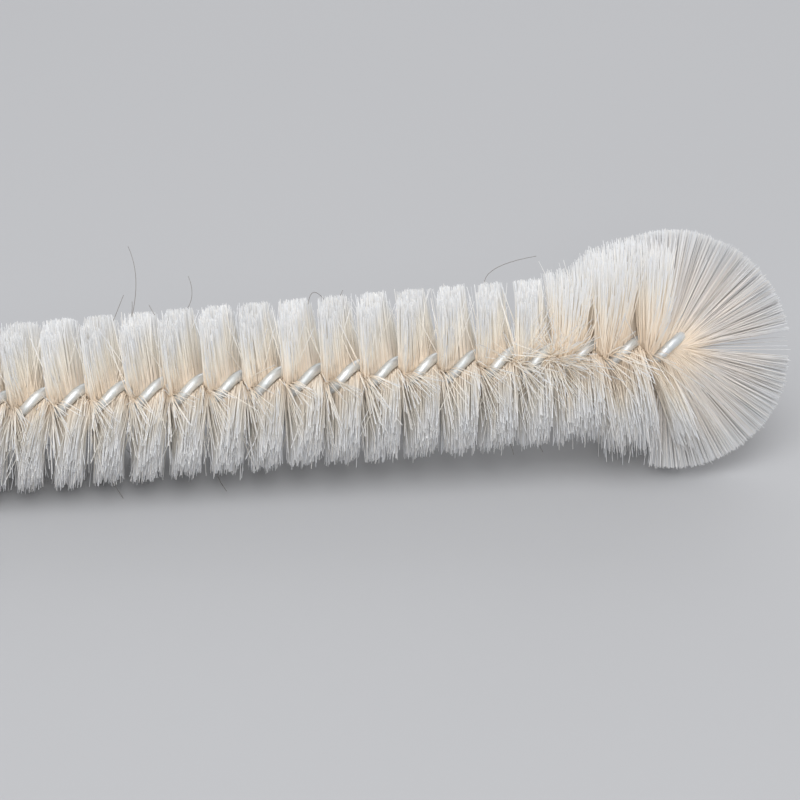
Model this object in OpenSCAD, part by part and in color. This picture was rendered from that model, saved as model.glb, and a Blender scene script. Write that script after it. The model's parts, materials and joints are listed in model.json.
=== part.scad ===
// Test tube brush: natural bristle held in one twisted, folded wire.
// The brush lies on its side on the plane z = 0, its tip towards +X.
// Every shape is first made in the brush's own frame, where the X axis
// is the brush's axis, x = 0 is the last place where the wire crosses
// in front of the bristles, and the tip lies on the +X side.

/* [Bristles] */
// Diameter over the trimmed bristles of the straight head
head_d = 20; // [12:0.5:30]
// Number of tufts in the straight head, one for each half turn of the wire
tufts = 16; // [6:1:22]
// Length of the head that one tuft takes up
tuft_pitch = 4.77; // [4:0.01:6]
// Diameter over the first, shorter shoulder tuft
step_d = 22.6; // [14:0.1:32]
// Diameter over the long shoulder tuft behind the fan
shoulder_d = 28.2; // [16:0.1:36]
// Length of the brush that one shoulder tuft takes up
shoulder_pitch = 5.5; // [4:0.1:7]
// Diameter of the round fan at the tip
fan_d = 29.2; // [16:0.1:38]
// Angle from the brush's axis at which each half of the fan starts
fan_slit = 3; // [1:0.5:10]
// Angle from the brush's axis at which each half of the fan ends
fan_sweep = 103; // [80:1:108]
// Thickness of each half of the fan next to the wire
fan_root_t = 1; // [0.6:0.1:2]
// Thickness of each half of the fan at its trimmed rim
fan_rim_t = 3.2; // [1.6:0.1:5]
// Half angle that a tuft fills round the axis at its outer end
tuft_spread = 68; // [45:1:78]

/* [Wire] */
// Thickness of the wire
wire_d = 1.25; // [0.8:0.05:1.6]
// Gap between the two wires where they grip the bristles
grip_gap = 1.63; // [1.2:0.01:2.4]
// How far the wires run past their last crossing before they fold over
fold_run = 0.8; // [0:0.1:2]

/* [Handle] */
// Length of the bare twisted stem behind the bristles
stem_len = 112; // [40:1:200]
// Inside diameter of the hanging eye
eye_d = 18.5; // [12:0.5:30]
// Radius of the bend where the stem turns into the eye
neck_r = 4; // [3:0.5:8]

/* [Rest] */
// Angle that the fan's plane leans back from upright as the brush lies
fan_lean = 30; // [0:5:60]
// How far the bristles press flat where the brush lies on them
press = 0.35; // [0.1:0.05:0.8]

/* [Hidden] */
function tuft_name(i) = str("head_tuft_", i < 10 ? "0" : "", i);

// Clearances between the bristles and the wire, and between two wires
clear = 0.15;
strand_gap = 0.03;

// Colours
bristle_colour = [0.93, 0.9, 0.84];
long_colour = [0.9, 0.84, 0.75];
fan_colour = [0.94, 0.92, 0.89];
wire_colour = [0.72, 0.75, 0.75];

// Radii
head_r = head_d / 2;
shoulder_r = shoulder_d / 2;
wire_r = wire_d / 2;
grip_r = grip_gap / 2 + wire_r;
stem_r = wire_r + strand_gap / 2;
bundle_r = stem_r + wire_r;

// The wire turns half a turn for each tuft. Its turn is counted in degrees
// from x = 0 towards the handle; the pitch changes behind the shoulder.
shoulder_turn = 450;
head_turn = shoulder_turn + 180 * tufts;
function x_at(turn) =
    turn <= shoulder_turn
    ? -turn / 180 * shoulder_pitch
    : -shoulder_turn / 180 * shoulder_pitch
      - (turn - shoulder_turn) / 180 * tuft_pitch;
head_back = x_at(head_turn);
stem_back = head_back - stem_len;

// Hanging eye: a round ring joined to the stem by one bend the other way.
ring_r = eye_d / 2 + bundle_r;
ring_at = sqrt(pow(ring_r + neck_r, 2) - pow(neck_r, 2));
neck_angle = atan2(ring_at, neck_r);
end_gap = 0.3;
end_reach = neck_r + 2 * bundle_r + end_gap;
end_angle = acos((pow(ring_r + neck_r, 2) + pow(ring_r, 2) - pow(end_reach, 2))
                 / (2 * ring_r * (ring_r + neck_r)));
neck_len = neck_r * neck_angle * PI / 180;
ring_len = ring_r * (360 - end_angle) * PI / 180;
ring_x = stem_back - ring_at;

// Rest: the axis lies on two of three supports, the shoulder tuft's rear
// edge, the head's rear edge and the far side of the eye.
shoulder_back = x_at(270);
shoulder_rest = shoulder_r - press;
head_rest = head_r - press;
slope_on_head = (shoulder_rest - head_rest) / (shoulder_back - head_back);
slope_on_eye = (shoulder_rest - bundle_r)
               / (shoulder_back - (ring_x - ring_r));
tilt = atan(min(slope_on_head, slope_on_eye));
axis_z = shoulder_rest * cos(tilt) - shoulder_back * sin(tilt);

// The eye is turned about the axis until its edge meets the surface.
ring_z = axis_z + ring_x * sin(tilt);
ring_drop = min(1, (ring_z - bundle_r) / ring_r);
eye_roll = asin(sqrt(max(0, pow(ring_drop, 2) - pow(sin(tilt), 2)))
                / cos(tilt));

// The origin is below the middle of the whole brush.
fan_x = fold_run;
tip_x = (fan_x + fan_d / 2) * cos(tilt);
eye_x = (ring_x - ring_r - bundle_r) * cos(tilt);
middle_x = (tip_x + eye_x) / 2;

// How finely the wire, the tufts and the fan are drawn
wire_steps = 10;
wire_sides = 8;
fold_step = 30;
tuft_slices = 10;
rim_steps = 6;
fan_sides = 96;

// Directions across the axis, by angle from +Y towards +Z.
function across(a) = [0, cos(a), sin(a)];
front = 180 - fan_lean;
turn_step = 360 / wire_steps;
fold_turn = -fold_run / shoulder_pitch * 180;
last_turn = head_turn + (stem_len + neck_len + ring_len) / tuft_pitch * 180;

// Distance of a wire's centre from the bundle's line: the wires close up
// within one half turn behind the bristles.
function smooth(t) = let (u = max(0, min(1, t))) u * u * (3 - 2 * u);
function wire_off(turn) =
    grip_r + (stem_r - grip_r) * smooth((turn - head_turn) / 180);

// The bundle's line beyond the stem, as [along, aside, heading] in the
// eye's plane, for a distance d along it.
function neck_point(d) =
    let (a = d / neck_r * 180 / PI)
    [neck_r * sin(a), neck_r * (1 - cos(a)), a];
function ring_point(d) =
    let (a = 90 + neck_angle - (d - neck_len) / ring_r * 180 / PI)
    [ring_at + ring_r * cos(a), ring_r * sin(a), a - 90];
function eye_point(d) =
    d <= 0 ? [d, 0, 0] : d <= neck_len ? neck_point(d) : ring_point(d);

// A point of the wire and the direction outwards from the bundle's line,
// for a turn and a side: 1 for one leg of the wire, -1 for the other.
function eye_vector(along, aside) =
    [-along, 0, 0] + aside * across(-eye_roll);
function wire_out(turn, side) =
    let (e = eye_point(stem_back - x_at(turn)),
         a = front + turn + eye_roll)
    side * (cos(a) * eye_vector(-sin(e[2]), cos(e[2]))
            + sin(a) * across(90 - eye_roll));
function wire_at(turn, side) =
    let (e = eye_point(stem_back - x_at(turn)))
    [stem_back, 0, 0] + eye_vector(e[0], e[1])
    + wire_off(turn) * wire_out(turn, side);

// The fold: the same twist carried on round a half circle over the tip.
function fold_x(a) = fold_run + grip_r * sin(a);
function fold_out(a) =
    cos(a) * across(front - fold_x(a) / shoulder_pitch * 180)
    + [sin(a), 0, 0];
function fold_at(a) =
    [fold_x(a), 0, 0]
    + grip_r * cos(a) * across(front - fold_x(a) / shoulder_pitch * 180);

// Every ring of the wire as [centre, heading, outward], from the end of
// one leg, over the fold, to the end of the other leg.
function unit(v) = v / norm(v);
function leg_ring(turn, side) =
    [wire_at(turn, side),
     -side * unit(wire_at(turn + 1, side) - wire_at(turn - 1, side)),
     wire_out(turn, side)];
function fold_ring(a) =
    [fold_at(a), unit(fold_at(a + 1) - fold_at(a - 1)), fold_out(a)];
leg_count = ceil((last_turn - fold_turn) / turn_step);
leg_turns = [for (i = [0:leg_count])
             fold_turn + (last_turn - fold_turn) * i / leg_count];
fold_angles = [fold_step:fold_step:180 - fold_step];
rings = concat(
    [for (i = [leg_count:-1:0]) leg_ring(leg_turns[i], 1)],
    [for (a = fold_angles) fold_ring(a)],
    [for (i = [0:leg_count]) leg_ring(leg_turns[i], -1)]);

function ring_points(ring) =
    let (aside = unit(cross(ring[1], ring[2])), out = cross(aside, ring[1]))
    [for (i = [0:wire_sides - 1])
     let (a = 360 * i / wire_sides)
     ring[0] + wire_r * (cos(a) * out + sin(a) * aside)];

// A closed tube through the rings.
module tube(rings, sides) {
    n = len(rings);
    points = [for (ring = rings) each ring_points(ring)];
    walls = [for (i = [0:n - 2], j = [0:sides - 1])
             let (a = i * sides + j,
                  b = i * sides + (j + 1) % sides)
             each [[a, a + sides, b], [b, a + sides, b + sides]]];
    first = [for (j = [0:sides - 1]) j];
    last = [for (j = [sides - 1:-1:0]) (n - 1) * sides + j];
    polyhedron(points, concat(walls, [first, last]), convexity = 10);
}

// Lays a shape of the brush's own frame down as the brush rests, and cuts
// off what would reach below the surface.
module laid() {
    translate([-middle_x, 0, axis_z]) rotate([0, -tilt, 0]) children();
}
module pressed() {
    reach = max(head_d, shoulder_d, fan_d);
    length = 2 * (tip_x - eye_x);
    intersection() {
        laid() children();
        translate([-length / 2, -reach, 0]) cube([length, 2 * reach, 2 * reach]);
    }
}

// Section of a tuft across the axis. The bristles leave the gap between
// the wires both ways and spread round the wires as they go out. A wire
// crosses this section as a bean shape that fills a half angle round the
// axis, and the tuft's sides keep clear of it, by a little more on its
// inner side, where the bean is blunt.
function polar(r, a) = r * [cos(a), sin(a)];
lead = atan(PI * grip_r / tuft_pitch);
wire_half_angle = (wire_r / cos(lead) + clear) / grip_r * 180 / PI;
inner_spare = 10;
middle_spare = 4;
module tuft_section(r) {
    side = [[grip_gap / 2 - clear, wire_r / 2],
            polar(grip_r - wire_r / 2, wire_half_angle + inner_spare),
            polar(grip_r, wire_half_angle + middle_spare),
            polar(grip_r + wire_r + clear, wire_half_angle),
            polar(grip_r + 3 * wire_r, wire_half_angle)];
    rim = [for (i = [0:rim_steps])
           polar(r, 90 - tuft_spread + 2 * tuft_spread * i / rim_steps)];
    up = concat(side, rim, [for (i = [len(side) - 1:-1:0])
                            [-side[i][0], side[i][1]]]);
    polygon(concat(up, -up));
}

// A half turn of bristle between two turns of the wire. The section's
// first axis points along the line between the wires.
module half_turn(turn, r) {
    back = x_at(turn + 180);
    start = front + turn + 180;
    color(r == head_r ? bristle_colour : long_colour)
    pressed()
        translate([back, 0, 0]) rotate([start, 0, 0])
        rotate([0, 90, 0]) rotate(90)
        linear_extrude(height = x_at(turn) - back - clear / 2,
                       twist = 180, slices = tuft_slices)
        tuft_section(r);
}

module head_tuft(i) { half_turn(shoulder_turn + 180 * (i - 1), head_r); }
module shoulder_step() { half_turn(270, step_d / 2); }
module shoulder_long() { half_turn(90, shoulder_r); }

// One half of the fan: a flat sector, thin at the wire and thicker at its
// trimmed rim, on the given side of the axis.
module fan_half(side) {
    inner = fold_x(90) + wire_r + 3 * clear - fan_x;
    sweep = fan_sweep - fan_slit;
    color(fan_colour)
    pressed()
        translate([fan_x, 0, 0]) rotate([-fan_lean, 0, 0])
        rotate([90, 0, 0])
        rotate(side > 0 ? fan_slit : -fan_sweep)
        rotate_extrude(angle = sweep, $fn = fan_sides)
        polygon([[inner, -fan_root_t / 2], [fan_d / 2, -fan_rim_t / 2],
                 [fan_d / 2, fan_rim_t / 2], [inner, fan_root_t / 2]]);
}

module wire() {
    color(wire_colour) laid() tube(rings, wire_sides);
}

wire();
fan_half(1);  // fan_upper
fan_half(-1);  // fan_lower
shoulder_long();
shoulder_step();
for (i = [1:tufts])
    head_tuft(i);
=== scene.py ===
"""Test tube brush: natural bristle held in one twisted, folded wire with a hanging eye."""

import json
import math
from functools import partial
from typing import NamedTuple

import bpy
import numpy as np
from bpy.props import FloatProperty, FloatVectorProperty, IntProperty, PointerProperty
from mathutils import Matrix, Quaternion, Vector


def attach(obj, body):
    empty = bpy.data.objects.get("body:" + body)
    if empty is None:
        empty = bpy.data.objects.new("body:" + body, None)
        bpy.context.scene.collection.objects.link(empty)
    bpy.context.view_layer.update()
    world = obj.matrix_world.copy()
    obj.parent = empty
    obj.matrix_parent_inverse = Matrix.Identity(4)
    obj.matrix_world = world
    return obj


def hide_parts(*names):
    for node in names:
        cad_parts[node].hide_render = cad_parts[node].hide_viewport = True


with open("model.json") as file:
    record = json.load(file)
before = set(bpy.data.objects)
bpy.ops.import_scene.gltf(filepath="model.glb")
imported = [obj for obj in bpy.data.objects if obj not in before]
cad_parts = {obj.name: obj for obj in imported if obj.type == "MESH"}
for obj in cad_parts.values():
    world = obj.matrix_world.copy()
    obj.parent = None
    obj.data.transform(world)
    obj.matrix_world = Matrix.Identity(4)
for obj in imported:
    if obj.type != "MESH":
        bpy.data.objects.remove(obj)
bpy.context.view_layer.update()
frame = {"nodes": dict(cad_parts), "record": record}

bl_info = {
    "name": "Test Tube Brush",
    "version": (1, 0, 0),
    "blender": (4, 5, 0),
    "location": "3D Viewport > Sidebar > Brush",
    "description": "Twisted wire, bristle tufts, fan and studio of a test tube brush",
    "category": "Object",
}

MM = 0.001
MOUNTS = {mount["name"]: mount for mount in frame["record"]["mounts"]}
HEAD = MOUNTS["tube_fit"]
EYE = MOUNTS["hanging_eye"]
TUFT_NODES = sorted(name for name in frame["nodes"] if name.startswith("head_tuft_"))
HALF_TURN = math.pi
# The way to the tip in the brush's own frame.
AHEAD = np.array([1.0, 0.0, 0.0])

# Half turns of the wire, counted from its last crossing in front of the bristles
# back towards the handle, at which each group of bristles starts.
TIP_TURN = 0.04
FAN_TURN = 0.5
LONG_TURN = 1.5
HEAD_TURN = 2.5


# ----------------------------------------------------------------------------
# Sizes and colours that a user would change
# ----------------------------------------------------------------------------

def length_property(name, description, default, low, high):
    """A length, given here in millimetres."""
    return FloatProperty(name=name, description=description, default=default * MM,
                         min=low * MM, max=high * MM, unit="LENGTH", precision=5)


def angle_property(name, description, default, low, high):
    """An angle, given here in degrees."""
    return FloatProperty(name=name, description=description, default=math.radians(default),
                         min=math.radians(low), max=math.radians(high), unit="ROTATION")


def colour_property(name, description, red, green, blue):
    """An opaque colour."""
    return FloatVectorProperty(name=name, description=description, subtype="COLOR", size=4,
                               default=(red, green, blue, 1), min=0, max=1)


class BrushWireSettings(bpy.types.PropertyGroup):
    """Sizes and finish of the folded wire."""

    thickness: length_property("Thickness", "Thickness of the wire", 1.25, 0.8, 1.6)
    gap: length_property(
        "Gap", "Gap between the two wires where they grip the bristles", 1.63, 1.2, 2.4)
    strand_gap: length_property(
        "Strand gap", "Gap between the two wires in the bare stem", 0.03, 0, 0.2)
    fold_run: length_property(
        "Fold run", "How far the wires run past their last crossing", 0.8, 0, 2)
    fold_lift: length_property(
        "Fold lift", "How far the end of the fold is bent upwards", 1.3, 0, 2)
    neck_r: length_property(
        "Neck radius", "Radius of the bend from the stem to the eye", 4, 3, 8)
    end_gap: length_property("End gap", "Gap between the wire's ends and the neck", 0.3, 0, 1)
    sides: IntProperty(
        name="Sides", description="Flats round the wire, an even number",
        default=14, min=8, max=24)
    rings: IntProperty(
        name="Rings", description="Rings along one half turn of the wire",
        default=13, min=6, max=24)
    light: colour_property("Light zinc", "Colour of the bright zinc", 0.80, 0.83, 0.85)
    dark: colour_property("Dark zinc", "Colour of the duller zinc patches", 0.58, 0.62, 0.62)


class BrushBristleSettings(bpy.types.PropertyGroup):
    """Sizes, habit and colours of the bristles."""

    pitch_long: length_property(
        "Shoulder pitch", "Length that one shoulder tuft takes up", 5.5, 4, 7)
    step_r: length_property("Step radius", "Reach of the first shoulder tuft", 11.3, 7, 16)
    shoulder_r: length_property(
        "Shoulder radius", "Reach of the long shoulder tuft", 14.1, 8, 18)
    fan_r: length_property("Fan radius", "Reach of the round fan at the tip", 14.6, 8, 19)
    fan_lean: angle_property(
        "Fan lean", "Angle that the fan's plane leans from upright", 30, 0, 60)
    thickness: length_property(
        "Thickness", "Thickness of one bristle at its root", 0.11, 0.06, 0.3)
    count: IntProperty(
        name="Bristles", description="Bristles gripped in one half turn of the wire",
        default=850, min=40, max=1200)
    fan_count: IntProperty(
        name="Fan bristles", description="Bristle ends in each half of the fan",
        default=1300, min=60, max=2000)
    splay: angle_property(
        "Splay", "Angle that the outer bristles of a tuft spread", 66, 0, 80)
    trail: angle_property(
        "Trail", "Angle that the bristles below the front trail back", 8, 0, 30)
    lean: angle_property(
        "Lean", "Angle that the outer bristles lean along the brush", 3, 0, 30)
    part_at: angle_property(
        "Parting", "Angle of the parting above the fan's front", 8, -180, 180)
    clear_up: angle_property(
        "Clear above", "Angle above the front that bristles are combed off", 48, 0, 80)
    clear_down: angle_property(
        "Clear below", "Angle below the front that bristles are combed off", 52, 0, 80)
    spray: FloatProperty(
        name="Spray", description="Share of the bristles below the parting left uncombed",
        default=0.3, min=0, max=1)
    open: FloatProperty(
        name="Opening", description="How soon the spread grows from the middle of the grip",
        default=0.8, min=0.3, max=2)
    curl: length_property("Curl", "How far a bristle bows aside at its middle", 0.06, 0, 2)
    # The root's and the long root's tan is painted warm shade: it stands in for the shade and the
    # warm light scattered between the packed bristles at the grip. The tip's cool grey is painted
    # shade and cool sky light at the tips. The middle is the bristle's own cream.
    root: colour_property("Root", "Colour of a bristle at its root", 0.94, 0.84, 0.72)
    long_root_warm_shade: colour_property(
        "Long root", "Colour of a long bristle at its root", 0.94, 0.83, 0.70)
    middle: colour_property("Middle", "Colour of a bristle at its middle", 0.93, 0.90, 0.84)
    tip: colour_property("Tip", "Colour of a bristle at its tip", 0.80, 0.82, 0.85)
    stray: colour_property("Stray", "Colour of the stray hairs", 0.20, 0.18, 0.16)
    seed: IntProperty(
        name="Seed", description="Start of the random draws", default=7, min=0)


class BrushStageSettings(bpy.types.PropertyGroup):
    """Floor and camera."""

    floor: colour_property("Floor", "Colour of the floor", 0.52, 0.525, 0.54)
    distance: length_property(
        "Distance", "Distance from the camera to the head", 300, 100, 2000)
    width: length_property("Width", "Width of the view at the head", 98.2, 20, 500)
    elevation: angle_property(
        "Elevation", "Angle of the camera above the floor", 30, 0, 80)
    swing: angle_property(
        "Swing", "Angle that the camera is swung towards the handle", 6, -45, 45)
    roll: angle_property(
        "Roll", "Angle that the camera is rolled about its own line of sight", 0.5, -45, 45)
    aim_along: length_property(
        "Aim along", "Place of the view's middle behind the tip crossing", 32.9, -50, 200)
    aim_drop: length_property(
        "Aim drop", "How far the view's middle is below the brush's axis", 3.38, -50, 50)


# ----------------------------------------------------------------------------
# The brush's own frame
# ----------------------------------------------------------------------------

def across(angle):
    """Unit vectors across the axis: the cosine of the angle aside, its sine upwards."""
    angle = np.asarray(angle, float)
    return np.stack([np.zeros_like(angle), np.cos(angle), np.sin(angle)], axis=-1)


def unit(vectors):
    """The vectors divided by their own lengths."""
    return vectors / np.linalg.norm(vectors, axis=-1, keepdims=True)


def smooth(t):
    """Smooth step from 0 to 1: three squares less two cubes."""
    t = np.clip(t, 0, 1)
    return t * t * (3 - 2 * t)


def hump(t):
    """From 0 up to 1 halfway and back: four times the share times what is left of it."""
    return 4 * t * (1 - t)


class Layout:
    """Where the brush lies, and how far along it each half turn of the wire is.

    In the brush's own frame the first axis runs along the brush to its tip, the
    second lies level across it, and the third completes them. Its origin is the
    last place where the wire crosses in front of the bristles.
    """

    def __init__(self, wire, bristle):
        along = np.array(HEAD["axis"])
        self.axes = np.stack([along, [0, 1, 0], np.cross(along, [0, 1, 0])])
        self.head_len = HEAD["dims"]["length_mm"] * MM
        self.head_r = HEAD["dims"]["r_mm"] * MM
        self.pitch = self.head_len / len(TUFT_NODES)
        self.pitch_long = bristle.pitch_long
        self.shoulder_len = HEAD_TURN * self.pitch_long
        middle = self.shoulder_len + self.head_len / 2
        self.origin = np.array(HEAD["pos_m"]) + middle * along
        self.front = math.pi - bristle.fan_lean
        # The fan's plane holds the axis and the way up; out is square to both.
        self.up = across(self.front - math.pi / 2)
        self.out = across(self.front)
        self.wire_r = wire.thickness / 2
        self.grip_r = wire.gap / 2 + self.wire_r
        self.stem_r = self.wire_r + wire.strand_gap / 2
        self.bundle_r = self.stem_r + self.wire_r

    def place(self, half_turns):
        """Place along the brush: the pitch of each half turn, added up backwards."""
        near = np.minimum(half_turns, HEAD_TURN) * self.pitch_long
        far = np.maximum(half_turns - HEAD_TURN, 0) * self.pitch
        return -near - far

    def turn(self, place):
        """Half turns at a place along the brush: the inverse of place()."""
        behind = -np.asarray(place, float)
        near = np.minimum(behind, self.shoulder_len) / self.pitch_long
        return near + np.maximum(behind - self.shoulder_len, 0) / self.pitch

    def to_world(self, points):
        """Points of the brush's own frame, laid down where the brush lies."""
        return self.origin + points @ self.axes

    def turned(self, directions):
        """Unit directions of the brush's own frame, turned as the brush lies."""
        return unit(directions @ self.axes)

    def to_own(self, point):
        """A point of the world in the brush's own frame."""
        return self.axes @ (np.array(point) - self.origin)


# ----------------------------------------------------------------------------
# Surfaces
# ----------------------------------------------------------------------------

# Share of a map's height that stays free at its foot and top.
MAP_EDGE = 0.01


def inset(share, edge):
    """A share of 0 to 1 drawn in from both ends: the edge and that share of the rest."""
    return edge + (1 - 2 * edge) * share


def add_object(name, data):
    """A new object of the scene that holds the data."""
    item = bpy.data.objects.new(name, data)
    bpy.context.scene.collection.objects.link(item)
    return item


def make_mesh(name, points, faces, maps, material):
    """A smooth mesh object from an array of points, arrays of faces and maps.

    Each array of faces holds one row of corners for each face. Each map holds one
    pair of numbers for every corner of every face.
    """
    mesh = bpy.data.meshes.new(name)
    mesh.vertices.add(len(points))
    mesh.vertices.foreach_set("co", np.asarray(points, np.float32).ravel())
    corners = np.concatenate([face.ravel() for face in faces])
    sizes = np.concatenate([np.full(len(face), face.shape[1]) for face in faces])
    mesh.loops.add(len(corners))
    mesh.loops.foreach_set("vertex_index", corners.astype(np.int32))
    mesh.polygons.add(len(sizes))
    starts = np.concatenate([[0], np.cumsum(sizes)[:-1]])
    mesh.polygons.foreach_set("loop_start", starts.astype(np.int32))
    mesh.update(calc_edges=True)
    for map_name, pairs in maps.items():
        layer = mesh.uv_layers.new(name=map_name)
        layer.data.foreach_set("uv", np.asarray(pairs, np.float32).ravel())
    mesh.polygons.foreach_set("use_smooth", np.ones(len(sizes), bool))
    mesh.materials.append(material)
    mesh.update()
    return add_object(name, mesh)


def tube_faces(rings, sides):
    """Faces of a tube: ring by ring, each corner with its neighbour and the next ring."""
    ring = np.arange(rings - 1)[:, None] * sides
    side = np.arange(sides)[None, :]
    beside = (side + 1) % sides
    ahead = ring + sides
    corners = np.stack([ring + side, ring + beside, ahead + beside, ahead + side], -1)
    return corners.reshape(-1, 4)


def cap_faces(sides, first, outward):
    """A flat end of a tube: strips across it, from corner pairs to the pairs opposite."""
    low = np.arange(sides // 2 - 1)
    corners = np.stack([low, low + 1, sides - 2 - low, sides - 1 - low], -1)
    if not outward:
        corners = corners[:, ::-1]
    return corners + first


# ----------------------------------------------------------------------------
# Wire
# ----------------------------------------------------------------------------

# Chamfer on the wire's cut ends, in shares of its radius.
CHAMFER = 0.15
# Columns of the wire's map, and the share of a column's width free on either side.
WIRE_STRIPS = 40
STRIP_EDGE = 0.02


class HangingEye:
    """The bundle's line beyond the stem: a neck bent aside, then a ring bent back.

    The ring's middle lies on the stem's own line. Its radius is the eye's and that
    of the bundle, and the ring ends where the cut ends leave their gap to the neck.
    """

    def __init__(self, layout, wire):
        self.neck_r = wire.neck_r
        self.ring_r = EYE["dims"]["r_mm"] * MM + layout.bundle_r
        reach = self.ring_r + self.neck_r
        self.centre = math.sqrt(reach ** 2 - self.neck_r ** 2)
        self.neck_angle = math.atan2(self.centre, self.neck_r)
        self.neck_len = self.neck_r * self.neck_angle
        end_reach = self.neck_r + 2 * layout.bundle_r + wire.end_gap
        end_cos = (reach ** 2 + self.ring_r ** 2 - end_reach ** 2) / (2 * self.ring_r * reach)
        self.length = self.neck_len + self.ring_r * (2 * math.pi - math.acos(end_cos))
        self.stem_back = layout.to_own(EYE["pos_m"])[0] + self.centre
        normal = layout.axes @ np.array(EYE["axis"])
        self.roll = math.atan2(normal[1], normal[2])

    def line(self, distance):
        """Place along, place aside and heading at a distance beyond the stem's end.

        Before 0 it is straight, then it follows a small arc of the neck's radius,
        then the large arc of the ring.
        """
        bend = np.clip(distance, 0, self.neck_len) / self.neck_r
        along = self.neck_r * np.sin(bend) + np.minimum(distance, 0)
        aside = self.neck_r * (1 - np.cos(bend))
        angle = math.pi / 2 + self.neck_angle - (distance - self.neck_len) / self.ring_r
        on_ring = distance > self.neck_len
        along = np.where(on_ring, self.centre + self.ring_r * np.cos(angle), along)
        aside = np.where(on_ring, self.ring_r * np.sin(angle), aside)
        return along, aside, np.where(on_ring, angle - math.pi / 2, bend)


def leg_line(layout, eye, half_turns, side):
    """Centres and outward directions of one leg of the wire.

    A centre lies off the bundle's line by the leg's distance, which closes up within
    one half turn behind the bristles, in a direction that turns once in two half turns.
    """
    back_turn = HEAD_TURN + len(TUFT_NODES)
    off = layout.grip_r + (layout.stem_r - layout.grip_r) * smooth(half_turns - back_turn)
    along, aside, heading = eye.line(eye.stem_back - layout.place(half_turns))
    plane_along, plane_aside = -AHEAD, across(-eye.roll)
    angle = (layout.front + half_turns * HALF_TURN + eye.roll)[:, None]
    beside = -np.sin(heading)[:, None] * plane_along + np.cos(heading)[:, None] * plane_aside
    out = side * (np.cos(angle) * beside + np.sin(angle) * across(math.pi / 2 - eye.roll))
    line = eye.stem_back * AHEAD + along[:, None] * plane_along + aside[:, None] * plane_aside
    return line + off[:, None] * out, out


def fold_line(layout, wire, angle):
    """Centres and outward directions of the fold over the tip.

    It is a half circle whose twist carries on at half its rate, and whose far end is
    lifted by the square of the sine.
    """
    run = layout.grip_r * np.sin(angle)
    place = wire.fold_run + run
    twisted = (wire.fold_run + run / 2) / layout.pitch_long * HALF_TURN
    spoke = across(layout.front - twisted)
    lift = wire.fold_lift * np.sin(angle) ** 2
    turned = layout.grip_r * np.cos(angle)[:, None] * spoke
    out = np.cos(angle)[:, None] * spoke + np.sin(angle)[:, None] * AHEAD
    return place[:, None] * AHEAD + turned + lift[:, None] * layout.up, out


def wire_line(layout, wire):
    """The wire's whole line, up one leg, over the fold and down the other.

    Gives its centres, its headings and its outward directions, made square to them.
    """
    eye = HangingEye(layout, wire)
    first = -wire.fold_run / layout.pitch_long
    last = layout.turn(eye.stem_back) + eye.length / layout.pitch
    turns = np.linspace(first, last, math.ceil((last - first) * wire.rings))
    fold = np.linspace(0, math.pi, wire.rings)[1:-1]
    centres, out = (np.concatenate(parts) for parts in zip(
        leg_line(layout, eye, turns[::-1], 1), fold_line(layout, wire, fold),
        leg_line(layout, eye, turns, -1)))
    heading = unit(np.gradient(centres, axis=0))
    return centres, heading, np.cross(unit(np.cross(heading, out)), heading)


def make_wire(layout, wire):
    """The whole wire as one tube: a circle carried along its line.

    A smaller ring beyond each cut end makes a chamfer there.
    """
    centres, heading, out = wire_line(layout, wire)
    chamfer = CHAMFER * layout.wire_r
    centres = np.concatenate([centres[:1] - chamfer * heading[:1], centres,
                              centres[-1:] + chamfer * heading[-1:]])
    aside = unit(np.cross(heading, out))
    out, aside = (np.concatenate([way[:1], way, way[-1:]]) for way in (out, aside))
    rings = len(centres)
    radius = np.full(rings, layout.wire_r)
    radius[[0, -1]] -= chamfer
    angle = np.linspace(0, 2 * math.pi, wire.sides, endpoint=False)[None, :, None]
    circle = np.cos(angle) * out[:, None] + np.sin(angle) * aside[:, None]
    points = centres[:, None] + radius[:, None, None] * circle
    walls = tube_faces(rings, wire.sides)
    faces = np.concatenate([walls, cap_faces(wire.sides, 0, False),
                            cap_faces(wire.sides, (rings - 1) * wire.sides, True)])
    steps = np.linalg.norm(np.diff(centres, axis=0), axis=1)
    maps = wire_maps(wire, np.concatenate([[0], np.cumsum(steps)]), faces, len(walls))
    return make_mesh("wire_twisted", layout.to_world(points.reshape(-1, 3)), [faces], maps,
                     wire_material(wire))


def wire_maps(wire, length, faces, wall_count):
    """Two maps of the wire: its true run, and the same run laid in strips side by side.

    The run gives the way round in turns and the way along in metres. The strips give
    each stretch of the wire a column of its own, as wide as one turn round it.
    """
    ring = faces // wire.sides
    side = (faces % wire.sides).astype(float)
    wraps = (side.max(axis=1) - side.min(axis=1) > wire.sides / 2)[:, None] & (side == 0)
    side[:wall_count][wraps[:wall_count]] = wire.sides
    turn = side / wire.sides
    run = np.stack([turn, length[ring]], -1)
    share = length[ring] / length[-1] * WIRE_STRIPS
    column = np.clip(np.floor(share.mean(axis=1, keepdims=True)), 0, WIRE_STRIPS - 1)
    strip = np.stack([(column + inset(turn, STRIP_EDGE)) / WIRE_STRIPS,
                      inset(share - column, MAP_EDGE)], -1)
    return {"OFBake": np.clip(strip, 0, 1), "run": run}


# ----------------------------------------------------------------------------
# Bristles
# ----------------------------------------------------------------------------

# Shares of a bristle's free length at which its rings lie, close together at the root.
RING_AT = np.array([0.0, 0.12, 0.3, 1.0])
BRISTLE_SIDES = 3
# How much a bristle narrows towards its tip, and how high above the floor the middle
# of a lying one keeps, in thicknesses.
TAPER = 0.25
FLOOR_GAP = 0.55
# Spread and limits of the thickness, in shares of the usual one.
THICK_SPREAD = 0.1
THICK_LIMITS = (0.7, 1.3)
# A direction that no bristle takes, from which the corners of its rings are counted.
ASKEW = np.array([0.31, 0.87, 0.38])

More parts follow.
